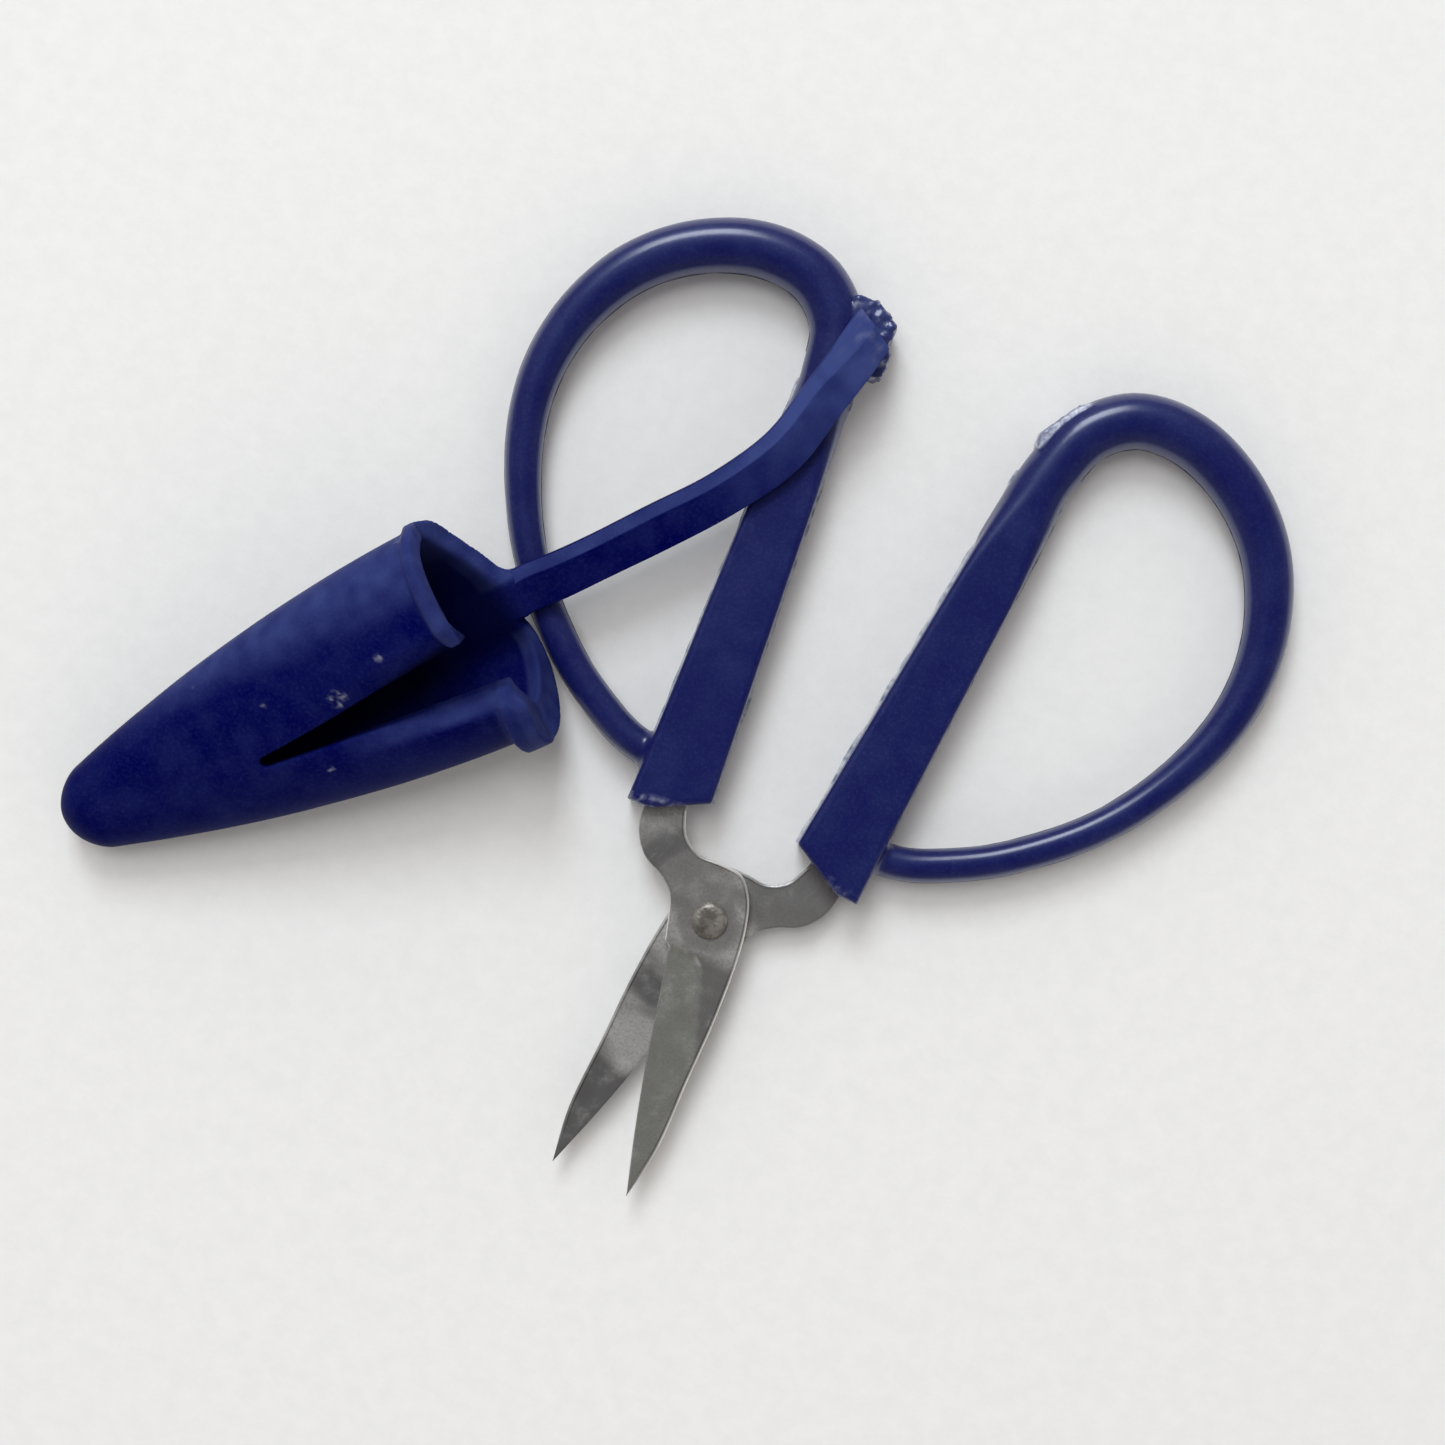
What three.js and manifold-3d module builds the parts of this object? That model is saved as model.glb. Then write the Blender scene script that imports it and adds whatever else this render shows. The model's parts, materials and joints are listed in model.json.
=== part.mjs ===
// Thread snips with a tethered blade cap, lying half open on a flat surface. Millimetres, +Z up.
// The blades point along -Y and the finger loops along +Y. One half is drawn closed, with its tip on the
// centre line and the pivot at the origin, and the other half is the same half turned over about +Y.
import * as THREE from "three";
import { mergeVertices } from "three/addons/utils/BufferGeometryUtils.js";
import Module from "manifold-3d";

const wasm = await Module();
wasm.setup();

// Driving dimensions.
const HALF_OPENING = THREE.MathUtils.degToRad(8.1); // each half is turned this far from closed
const MID_PLANE = 3.0; // height of the plane between the two blade plates
const PLATE_THICKNESS = 1.3;
const PLATE_GAP = 0.2; // running gap between the two plates
const RIVET_SHANK_RADIUS = 1.45;
const RIVET_HOLE_RADIUS = 1.54;
const RIVET_HEAD_RADIUS = 1.95;
const RIVET_HEAD_HEIGHT = 0.75;
const GRIP_THICKNESS = 6.0;
const GRIP_EDGE_ROUNDING = 1.1;
const TANG_CLEARANCE = 0.3;
const LEFT_LOOP_SCALE = 0.978; // the left loop came out of its mould a little smaller
const RIGHT_LOOP_SCALE = 1.0;
const STRAP_WIDTH = 4.9;
const STRAP_THICKNESS = 1.8;
const STRAP_JOINT_GAP = 0.35; // between the strap's pieces, where the strap bends
const CAP_LENGTH = 50.4; // along its axis, at the middle of the mouth
const CAP_WALL = 1.6;
const CAP_YAW = THREE.MathUtils.degToRad(-41);
const CAP_PITCH = THREE.MathUtils.degToRad(9.6); // the mouth is propped up on the strap and the loop
const CAP_ROLL = THREE.MathUtils.degToRad(18);
const CAP_TIP = new THREE.Vector3(-66.7, -19.1, 3.2); // outer end of the cap's axis

const STEEL = { color: 0x8d8c88, roughness: 0.38, metalness: 1.0 };
const RIVET_STEEL = { color: 0x9b958c, roughness: 0.45, metalness: 1.0 };
const GLOSS_NAVY = { color: 0x1b1d55, roughness: 0.22, metalness: 0.0 };
const SATIN_NAVY = { color: 0x181a4a, roughness: 0.5, metalness: 0.0 };

const vec2 = (x, y) => new THREE.Vector2(x, y);
const vec3 = (x, y, z) => new THREE.Vector3(x, y, z);

// A closed geometry as a solid that can be joined and cut.
function solidOf(geometry) {
  const bare = geometry.clone();
  bare.deleteAttribute("normal");
  bare.deleteAttribute("uv");
  const merged = mergeVertices(bare, 1e-4);
  return new wasm.Manifold(
    new wasm.Mesh({
      numProp: 3,
      vertProperties: new Float32Array(merged.attributes.position.array),
      triVerts: new Uint32Array(merged.index.array),
    }),
  );
}

function geometryOf(solid) {
  const mesh = solid.getMesh();
  const geometry = new THREE.BufferGeometry();
  geometry.setAttribute("position", new THREE.BufferAttribute(mesh.vertProperties, 3));
  geometry.setIndex(new THREE.BufferAttribute(mesh.triVerts, 1));
  geometry.computeVertexNormals();
  return geometry;
}

function namedMesh(name, geometry, finish) {
  const mesh = new THREE.Mesh(geometry, new THREE.MeshStandardMaterial(finish));
  mesh.name = name;
  return mesh;
}

// Skins a row of rings, each with the same number of points, and closes both ends with a fan.
// Each ring runs clockwise to someone who looks along the row.
function loft(rings) {
  const sides = rings[0].length;
  const positions = rings.flatMap((ring) => ring.flatMap((p) => [p.x, p.y, p.z]));
  const index = [];
  for (let r = 0; r + 1 < rings.length; r += 1) {
    for (let s = 0; s < sides; s += 1) {
      const a = r * sides + s;
      const b = r * sides + ((s + 1) % sides);
      index.push(b, a, a + sides, b, a + sides, b + sides);
    }
  }
  [0, rings.length - 1].forEach((r) => {
    const middle = rings[r].reduce((sum, p) => sum.add(p), vec3(0, 0, 0)).divideScalar(sides);
    const hub = positions.length / 3;
    positions.push(middle.x, middle.y, middle.z);
    for (let s = 0; s < sides; s += 1) {
      const a = r * sides + s;
      const b = r * sides + ((s + 1) % sides);
      index.push(...(r === 0 ? [a, b, hub] : [b, a, hub]));
    }
  });
  const geometry = new THREE.BufferGeometry();
  geometry.setAttribute("position", new THREE.Float32BufferAttribute(positions, 3));
  geometry.setIndex(index);
  return geometry;
}

// Rings along a path, with the section's first axis level and its second axis as upright as the path lets it.
function sweptRings(path, rings, sectionAt) {
  return Array.from({ length: rings + 1 }, (_, i) => {
    const t = i / rings;
    const centre = path.getPointAt(t);
    const along = path.getTangentAt(t);
    const side = along.clone().cross(vec3(0, 0, 1)).normalize();
    const up = side.clone().cross(along);
    return sectionAt(t).map((p) => centre.clone().addScaledVector(side, p.x).addScaledVector(up, p.y));
  });
}

// Points of a superellipse, anticlockwise. An exponent of 2 is an ellipse, and a higher one is squarer.
function superellipse(halfWidth, halfHeight, exponent, sides) {
  const bent = (c) => Math.sign(c) * Math.abs(c) ** (2 / exponent);
  return Array.from({ length: sides }, (_, i) => {
    const angle = ((i + 0.5) / sides) * 2 * Math.PI;
    return vec2(halfWidth * bent(Math.cos(angle)), halfHeight * bent(Math.sin(angle)));
  });
}

function extruded(shape, bottom, top, curveSegments = 8) {
  const geometry = new THREE.ExtrudeGeometry(shape, {
    depth: top - bottom,
    bevelEnabled: false,
    curveSegments,
  });
  return geometry.translate(0, 0, bottom);
}

// Blade plate: tip, spine, round shoulder, S-curved shank and the tang that the grip is moulded over.
function tangSide(shape, grow) {
  shape.lineTo(-5.0 + grow, 34);
  shape.absarc(-6.2, 34, 1.2 + grow, 0, Math.PI, false);
  shape.lineTo(-10.3 - grow, 10.6);
}

function plateOutline() {
  const shape = new THREE.Shape();
  shape.moveTo(0, -30.8);
  shape.splineThru([
    vec2(1.7, -25),
    vec2(2.7, -17),
    vec2(3.6, -10),
    vec2(4.05, -3.5),
    vec2(3.95, 0.5),
    vec2(3.3, 3.5),
    vec2(1.9, 5.5),
    vec2(-0.6, 6.1),
    vec2(-3.2, 6.4),
    vec2(-4.9, 7.8),
    vec2(-5.8, 10.6),
  ]);
  tangSide(shape, 0);
  shape.splineThru([
    vec2(-10.0, 7.0),
    vec2(-8.6, 4.6),
    vec2(-6.4, 3.1),
    vec2(-4.9, 1.5),
    vec2(-4.35, -0.8),
    vec2(-3.9, -3.7),
  ]);
  shape.lineTo(-3.4, -4.0);
  shape.splineThru([vec2(-2.75, -10), vec2(-2.1, -16.5), vec2(-1.2, -23.5), vec2(0, -30.8)]);
  return shape;
}

const GRIND_START = vec2(0.6, -4.0); // where the ground face leaves the plate's flat face
const GRIND_RUN = vec2(2.2, -10.0); // direction in which that line runs out to the spine
const GRIND_SLOPE = Math.atan(0.16);

// The slab that grinding takes off: its underside is the ground face, sloping to the edge and the tip.
function grindingSlab(top) {
  const slab = new THREE.BoxGeometry(20, 40, 4);
  slab.translate(-10, -20, 2);
  slab.rotateY(-GRIND_SLOPE);
  slab.rotateZ(Math.atan2(GRIND_RUN.x, -GRIND_RUN.y));
  return slab.translate(GRIND_START.x, GRIND_START.y, top);
}

// The plate lies over the plane z = 0, which is the plane between the two plates.
function bladePlate() {
  const top = PLATE_GAP / 2 + PLATE_THICKNESS;
  const plate = solidOf(extruded(plateOutline(), PLATE_GAP / 2, top, 5));
  const hole = new THREE.CylinderGeometry(RIVET_HOLE_RADIUS, RIVET_HOLE_RADIUS, 10, 40);
  hole.rotateX(Math.PI / 2);
  return geometryOf(plate.subtract(solidOf(hole)).subtract(solidOf(grindingSlab(top))));
}

function pivotRivet() {
  const grip = PLATE_GAP / 2 + PLATE_THICKNESS + 0.05;
  const head = [
    vec2(0, grip + RIVET_HEAD_HEIGHT),
    vec2(RIVET_HEAD_RADIUS * 0.6, grip + RIVET_HEAD_HEIGHT * 0.92),
    vec2(RIVET_HEAD_RADIUS * 0.9, grip + RIVET_HEAD_HEIGHT * 0.62),
    vec2(RIVET_HEAD_RADIUS, grip + RIVET_HEAD_HEIGHT * 0.2),
    vec2(RIVET_HEAD_RADIUS * 0.98, grip),
    vec2(RIVET_SHANK_RADIUS, grip),
  ];
  const foot = head.map((p) => vec2(p.x, -p.y));
  return new THREE.LatheGeometry([...foot, ...head.reverse()], 40).rotateX(Math.PI / 2);
}

// Grip sleeve in plan: a slanted lower end, straight tapering sides and a round shoulder at the top.
function sleeveOutline() {
  const shape = new THREE.Shape();
  shape.moveTo(-12.1, 9.9);
  shape.lineTo(-9.6, 9.6);
  shape.lineTo(-3.35, 11.9);
  shape.lineTo(-1.7, 58);
  shape.quadraticCurveTo(-1.6, 63, -3.6, 66);
  shape.lineTo(-7.6, 64);
  shape.lineTo(-7.55, 58);
  shape.lineTo(-11.3, 17.5);
  return shape;
}

// Centre line of the finger loop, from inside the lower end of the sleeve round to inside its top.
// A scale under 1 draws the loop in towards the point where it leaves the sleeve.
const LOOP_ORIGIN = vec3(-8.2, 14.6, 0);
const loopPath = (scale) => new THREE.CatmullRomCurve3(
  [
    LOOP_ORIGIN,
    vec3(-11.1, 15.2, 0),
    vec3(-14.4, 16.3, 0),
    vec3(-18.5, 18.9, 0),
    vec3(-23.0, 22.7, 0),
    vec3(-28.9, 29.9, 0),
    vec3(-32.4, 36.9, 0),
    vec3(-34.6, 45.0, 0),
    vec3(-34.8, 51.7, 0),
    vec3(-33.1, 58.6, 0),
    vec3(-28.8, 65.1, 0),
    vec3(-22.6, 69.4, 0),
    vec3(-15.3, 71.0, 0),
    vec3(-9.4, 69.4, 0),
    vec3(-5.7, 65.2, 0),
    vec3(-4.7, 59.0, 0),
  ].map((p) => LOOP_ORIGIN.clone().lerp(p, scale)),
  false,
  "centripetal",
);
const LOOP_THIN = 1.8; // radius of the loop's bar where it leaves the sleeve
const LOOP_THICK = 3.0; // radius along the top

function loopRadius(t) {
  return THREE.MathUtils.lerp(LOOP_THIN, LOOP_THICK, THREE.MathUtils.smoothstep(t, 0.25, 0.85));
}

// Left over from moulding, on the corner where both grips and the strap were once one piece.
function scarOutline() {
  const shape = new THREE.Shape();
  shape.moveTo(-4.5, 60.0);
  shape.lineTo(-1.6, 60.4);
  shape.lineTo(-1.2, 62.6);
  shape.lineTo(-2.9, 67.6);
  shape.lineTo(-4.6, 69.0);
  shape.lineTo(-6.0, 66.0);
  return shape;
}

function gateStubOutline() {
  const shape = new THREE.Shape();
  shape.moveTo(-4.5, 60.0);
  shape.lineTo(0.1, 59.9);
  shape.lineTo(0.6, 60.6);
  shape.lineTo(0.75, 65.6);
  shape.lineTo(-1.2, 67.7);
  shape.lineTo(-3.9, 68.4);
  shape.lineTo(-5.5, 65.0);
  return shape;
}

// Handle around the plane z = 0: sleeve, loop and corner joined, with a pocket for the tang.
function handle(loopScale, corner) {
  const half = GRIP_THICKNESS / 2;
  const sleeve = new THREE.ExtrudeGeometry(sleeveOutline(), {
    depth: GRIP_THICKNESS - 2 * GRIP_EDGE_ROUNDING,
    bevelThickness: GRIP_EDGE_ROUNDING,
    bevelSize: GRIP_EDGE_ROUNDING,
    bevelOffset: -GRIP_EDGE_ROUNDING,
    bevelSegments: 3,
    curveSegments: 6,
  });
  sleeve.translate(0, 0, GRIP_EDGE_ROUNDING - half);
  const bar = loft(
    sweptRings(loopPath(loopScale), 56, (t) => superellipse(loopRadius(t), loopRadius(t), 2.2, 16)),
  );
  const pocket = new THREE.Shape();
  pocket.moveTo(-10.3 - TANG_CLEARANCE, 8.0);
  pocket.lineTo(-5.5 + TANG_CLEARANCE, 8.0);
  pocket.lineTo(-5.8 + TANG_CLEARANCE, 10.6);
  tangSide(pocket, TANG_CLEARANCE);
  const pocketBottom = PLATE_GAP / 2 - TANG_CLEARANCE;
  const pocketTop = PLATE_GAP / 2 + PLATE_THICKNESS + TANG_CLEARANCE;
  return geometryOf(
    solidOf(sleeve)
      .add(solidOf(bar))
      .add(solidOf(corner))
      .subtract(solidOf(extruded(pocket, pocketBottom, pocketTop, 5))),
  );
}

// Strap: a short folded root on the left grip's corner, then the long run down to the cap's mouth.
const STRAP_ROOT_HEIGHT = 7.2; // centre of the strap where it lies over the corner
const STRAP_END_HEIGHT = 6.2; // centre of the strap at the cap's mouth
const SWING_PIVOT = vec3(-10.7, 64.2, STRAP_ROOT_HEIGHT);
const ROOT_DIRECTION = vec3(-0.8, -5, 0).normalize(); // the way the strap leaves its root
const LIFT_PIVOT = SWING_PIVOT.clone().addScaledVector(ROOT_DIRECTION, 4.2);
const TILT_PIVOT = vec3(-32.3, 23.4, STRAP_END_HEIGHT);

const strapSection = () => superellipse(STRAP_WIDTH / 2, STRAP_THICKNESS / 2, 5, 16);

// A flat round pad about the swing axis, a short neck and a rounded end about the lift axis.
function strapRoot() {
  const pad = new THREE.CylinderGeometry(STRAP_WIDTH / 2, STRAP_WIDTH / 2, STRAP_THICKNESS, 32);
  pad.rotateX(Math.PI / 2);
  pad.translate(SWING_PIVOT.x, SWING_PIVOT.y, SWING_PIVOT.z);
  const turn = Math.atan2(ROOT_DIRECTION.y, ROOT_DIRECTION.x) - Math.PI / 2;
  const neck = new THREE.BoxGeometry(STRAP_WIDTH, SWING_PIVOT.distanceTo(LIFT_PIVOT), STRAP_THICKNESS);
  neck.rotateZ(turn);
  const middle = SWING_PIVOT.clone().lerp(LIFT_PIVOT, 0.5);
  neck.translate(middle.x, middle.y, middle.z);
  const knuckle = new THREE.CylinderGeometry(STRAP_THICKNESS / 2, STRAP_THICKNESS / 2, STRAP_WIDTH, 24);
  knuckle.rotateZ(Math.PI / 2);
  knuckle.rotateZ(turn);
  knuckle.translate(LIFT_PIVOT.x, LIFT_PIVOT.y, LIFT_PIVOT.z);
  return geometryOf(solidOf(pad).add(solidOf(neck)).add(solidOf(knuckle)));
}

function strap() {
  const start = LIFT_PIVOT.clone().addScaledVector(ROOT_DIRECTION, STRAP_THICKNESS / 2 + STRAP_JOINT_GAP);
  const path = new THREE.CatmullRomCurve3(
    [
      start,
      vec3(-12.2, 54.9, 7.05),
      vec3(-13.9, 48.1, 6.95),
      vec3(-17.6, 41.6, 6.8),
      vec3(-22.4, 35.4, 6.65),
      vec3(-29.7, 26.5, 6.3),
      TILT_PIVOT.clone(),
    ],
    false,
    "centripetal",
  );
  return loft(sweptRings(path, 24, strapSection));
}

// Half width and half depth of the cap's outer surface, at a distance along its axis from the tip.
const NOSE_LENGTH = 3.8;
const noseRounding = (s) => Math.sqrt(Math.max(0, 1 - (1 - Math.min(s / NOSE_LENGTH, 1)) ** 2));
const capHalfWidth = (s) => 12.7 - 9.0 * Math.max(0, 1 - s / CAP_LENGTH) ** 1.8;
const capHalfDepth = (s) => 6.9 - 3.7 * Math.max(0, 1 - s / CAP_LENGTH) ** 1.5;
const MOUTH_SLANT_X = 0.1; // the mouth's +X side reaches further than its -X side
const MOUTH_SLANT_Z = -0.26; // and its lower side further than its upper side
const LIP_FLARE = 0.9;
const LIP_LENGTH = 2.2;
const CAP_SIDES = 40;

// One ring of the cap, a share of the way from the tip to the slanted mouth, grown sideways by an offset.
function capRing(share, fromMouth, grow) {
  return superellipse(1, 1, 2.3, CAP_SIDES).map((unit) => {
    const mouth = CAP_LENGTH
      + MOUTH_SLANT_X * unit.x * capHalfWidth(CAP_LENGTH)
      + MOUTH_SLANT_Z * unit.y * capHalfDepth(CAP_LENGTH);
    const s = share * mouth - fromMouth;
    const round = noseRounding(s);
    const x = unit.x * Math.max(0.05, capHalfWidth(s) * round + grow);
    const z = unit.y * Math.max(0.05, capHalfDepth(s) * round + grow);
    return vec3(x, s, z);
  });
}

function capBody() {
  const outer = [0.002, 0.01, 0.03, 0.06, 0.1, 0.18, 0.28, 0.4, 0.52, 0.66, 0.8, 0.9].map((share) =>
    capRing(share, 0, 0),
  );
  const lip = [
    capRing(1, LIP_LENGTH, 0),
    capRing(1, LIP_LENGTH * 0.8, LIP_FLARE * 0.8),
    capRing(1, LIP_LENGTH * 0.5, LIP_FLARE),
    capRing(1, LIP_LENGTH * 0.15, LIP_FLARE * 0.8),
    capRing(1, 0, LIP_FLARE * 0.3),
    capRing(1, 0, -CAP_WALL * 0.8),
    capRing(1, 0.5, -CAP_WALL),
  ];
  const inner = [0.88, 0.76, 0.6, 0.45, 0.3, 0.2, 0.12, 0.07].map((share) =>
    capRing(share, 0, -CAP_WALL),
  );
  return loft([...outer, ...lip, ...inner]);
}

const SLOT_APEX = 23.6; // distance of the slot's inner end from the cap's tip

// The wedge that cuts the V-shaped slot through the cap's upper wall, wider at its top than at its floor.
function slotWedge() {
  const ring = (left, right, height) => [
    vec3(left, CAP_LENGTH + 6, height),
    vec3(right, CAP_LENGTH + 6, height),
    vec3(2.7, SLOT_APEX, height),
    vec3(1.6, SLOT_APEX, height),
  ];
  return loft([ring(-1.2, 4.6, 0.6), ring(-1.6, 7.4, 12)]);
}

const capPose = new THREE.Euler(CAP_PITCH, CAP_ROLL, CAP_YAW, "ZXY");

// The strap's last stretch, moulded in one with the cap's lower wall, given in the cap's own frame.
function capTongue() {
  const toCap = new THREE.Matrix4().compose(
    CAP_TIP,
    new THREE.Quaternion().setFromEuler(capPose),
    vec3(1, 1, 1),
  );
  toCap.invert();
  const end = TILT_PIVOT.clone();
  const along = vec3(Math.sin(CAP_YAW), -Math.cos(CAP_YAW), 0);
  const near = end.clone().addScaledVector(along, STRAP_THICKNESS / 2 + STRAP_JOINT_GAP);
  const rings = [near, end.clone().addScaledVector(along, 9).add(vec3(0, 0, -0.6))].map((centre) => {
    const side = vec3(Math.cos(CAP_YAW), Math.sin(CAP_YAW), 0);
    return strapSection().map((p) =>
      centre.clone().addScaledVector(side, -p.x).add(vec3(0, 0, p.y)).applyMatrix4(toCap),
    );
  });
  return loft(rings);
}

function cap() {
  return geometryOf(solidOf(capBody()).subtract(solidOf(slotWedge())).add(solidOf(capTongue())));
}

// Assembly.
const snips = new THREE.Group();

const leftHalf = new THREE.Group();
leftHalf.position.z = MID_PLANE;
leftHalf.rotation.z = HALF_OPENING;
leftHalf.add(namedMesh("upper_blade", bladePlate(), STEEL));
leftHalf.add(namedMesh("pivot_rivet", pivotRivet(), RIVET_STEEL));
const stub = extruded(gateStubOutline(), -1.6, 2.6);
leftHalf.add(namedMesh("left_handle", handle(LEFT_LOOP_SCALE, stub), GLOSS_NAVY));

const rightHalf = new THREE.Group();
rightHalf.position.z = MID_PLANE;
rightHalf.rotation.z = -HALF_OPENING;
const turnedOver = new THREE.Group();
turnedOver.rotation.y = Math.PI;
turnedOver.add(namedMesh("lower_blade", bladePlate(), STEEL));
const scar = extruded(scarOutline(), -1.9, 1.9);
turnedOver.add(namedMesh("right_handle", handle(RIGHT_LOOP_SCALE, scar), GLOSS_NAVY));
rightHalf.add(turnedOver);

const capMesh = namedMesh("blade_cap", cap(), SATIN_NAVY);
capMesh.position.copy(CAP_TIP);
capMesh.rotation.copy(capPose);

snips.add(leftHalf, rightHalf, capMesh);
snips.add(namedMesh("strap_root", strapRoot(), SATIN_NAVY));
snips.add(namedMesh("strap", strap(), SATIN_NAVY));

// The frame's origin is the middle of the underside of the whole object's box.
snips.updateMatrixWorld(true);
const box = new THREE.Box3().setFromObject(snips, true);
snips.position.set(-(box.min.x + box.max.x) / 2, -(box.min.y + box.max.y) / 2, -box.min.z);

export default snips;
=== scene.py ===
"""Thread snips with a tethered blade cap, half open on a pale surface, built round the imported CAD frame.

Shapes are worked out in millimetres. One half of the snips is drawn closed, with the pivot at its origin, its
tip on -Y and z = 0 between the two blade plates, and then placed by left_half() or right_half().
"""

import json
import math

import bpy
import numpy as np
from mathutils import Matrix, Vector, geometry, noise


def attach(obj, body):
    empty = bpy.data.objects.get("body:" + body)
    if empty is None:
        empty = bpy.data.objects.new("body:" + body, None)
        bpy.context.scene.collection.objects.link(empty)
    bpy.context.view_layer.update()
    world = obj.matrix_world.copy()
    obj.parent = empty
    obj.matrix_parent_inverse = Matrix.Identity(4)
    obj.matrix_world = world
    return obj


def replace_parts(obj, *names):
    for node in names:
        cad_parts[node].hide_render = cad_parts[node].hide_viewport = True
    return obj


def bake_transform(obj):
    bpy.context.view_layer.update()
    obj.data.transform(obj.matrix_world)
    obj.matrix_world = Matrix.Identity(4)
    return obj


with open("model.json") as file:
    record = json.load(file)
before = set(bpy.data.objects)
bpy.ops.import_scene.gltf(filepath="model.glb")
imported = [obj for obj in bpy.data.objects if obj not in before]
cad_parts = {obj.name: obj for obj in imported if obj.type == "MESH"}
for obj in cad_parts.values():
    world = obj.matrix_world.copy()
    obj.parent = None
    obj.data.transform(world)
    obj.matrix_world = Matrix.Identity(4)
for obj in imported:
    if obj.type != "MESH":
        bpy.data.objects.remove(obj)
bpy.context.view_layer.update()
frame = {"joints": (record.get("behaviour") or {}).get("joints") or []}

MM = 0.001
JOINTS = {joint["name"]: joint for joint in frame["joints"]}
PIVOT = Vector(JOINTS["blade_pivot"]["pos_m"]) / MM
HALF_OPENING = math.radians(8.1)


# ---------------------------------------------------------------- shapes

def smooth_path(points, per_span=24):
    """A smooth curve through the points: a centripetal Catmull-Rom spline, as a row of close points."""
    p = np.array(points, float)
    p = np.vstack([2 * p[0] - p[1], p, 2 * p[-1] - p[-2]])
    gap = np.linalg.norm(np.diff(p, axis=0), axis=1) ** 0.5
    t = np.linspace(0, 1, per_span, endpoint=False)[:, None]
    rows = []
    for i in range(1, len(p) - 2):
        before, here, after = gap[i - 1], gap[i], gap[i + 1]
        chord = p[i + 1] - p[i]
        leave = here * (
            (p[i] - p[i - 1]) / before - (p[i + 1] - p[i - 1]) / (before + here) + chord / here
        )
        arrive = here * (
            chord / here - (p[i + 2] - p[i]) / (here + after) + (p[i + 2] - p[i + 1]) / after
        )
        rows.append(
            p[i] + t * leave + t**2 * (3 * chord - 2 * leave - arrive) + t**3 * (leave + arrive - 2 * chord)
        )
    rows.append(p[-2][None])
    return np.vstack(rows)


def evenly(path, step):
    """The same path with its points about a step apart, and each point's share of the length."""
    along = np.concatenate([[0], np.cumsum(np.linalg.norm(np.diff(path, axis=0), axis=1))])
    share = np.linspace(0, 1, max(2, int(round(along[-1] / step)) + 1))
    columns = [np.interp(share * along[-1], along, column) for column in path.T]
    return np.stack(columns, 1), share


def smoothstep(x, low, high):
    t = np.clip((x - low) / (high - low), 0, 1)
    return t * t * (3 - 2 * t)


def round_union(a, b, radius):
    """Joins two signed distances with a hollow fillet of that radius."""
    reach = np.hypot(np.maximum(radius - a, 0), np.maximum(radius - b, 0))
    return np.maximum(radius, np.minimum(a, b)) - reach


def round_cut(a, b, radius):
    """Keeps what is inside both signed distances, with a rounded edge of that radius."""
    return -round_union(-a, -b, radius)


def polygon_distance(xy, corners):
    """Signed distance in the plane to a closed outline, negative inside."""
    a = np.array(corners, float)
    b = np.roll(a, -1, axis=0)
    edge = b - a
    distance, crossings = np.full(len(xy), np.inf), np.zeros(len(xy), int)
    for start, end, run in zip(a, b, edge):
        offset = xy - start
        share = np.clip(offset @ run / max(run @ run, 1e-12), 0, 1)
        distance = np.minimum(distance, np.linalg.norm(offset - share[:, None] * run, axis=1))
        spans = (start[1] > xy[:, 1]) != (end[1] > xy[:, 1])
        rise = run[1] if abs(run[1]) > 1e-12 else 1e-12
        crossings += spans & (offset[:, 0] < run[0] * offset[:, 1] / rise)
    return np.where(crossings % 2 == 1, -distance, distance)


def path_distance(xy, path, share):
    """Distance in the plane to a path, and the share of its length at the nearest point."""
    nearest, where = np.full(len(xy), np.inf), np.zeros(len(xy))
    for start, end, first, last in zip(path, path[1:], share, share[1:]):
        run = end - start
        offset = xy - start
        t = np.clip(offset @ run / (run @ run), 0, 1)
        gap = np.linalg.norm(offset - t[:, None] * run, axis=1)
        closer = gap < nearest
        nearest[closer] = gap[closer]
        where[closer] = first + t[closer] * (last - first)
    return nearest, where


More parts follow.
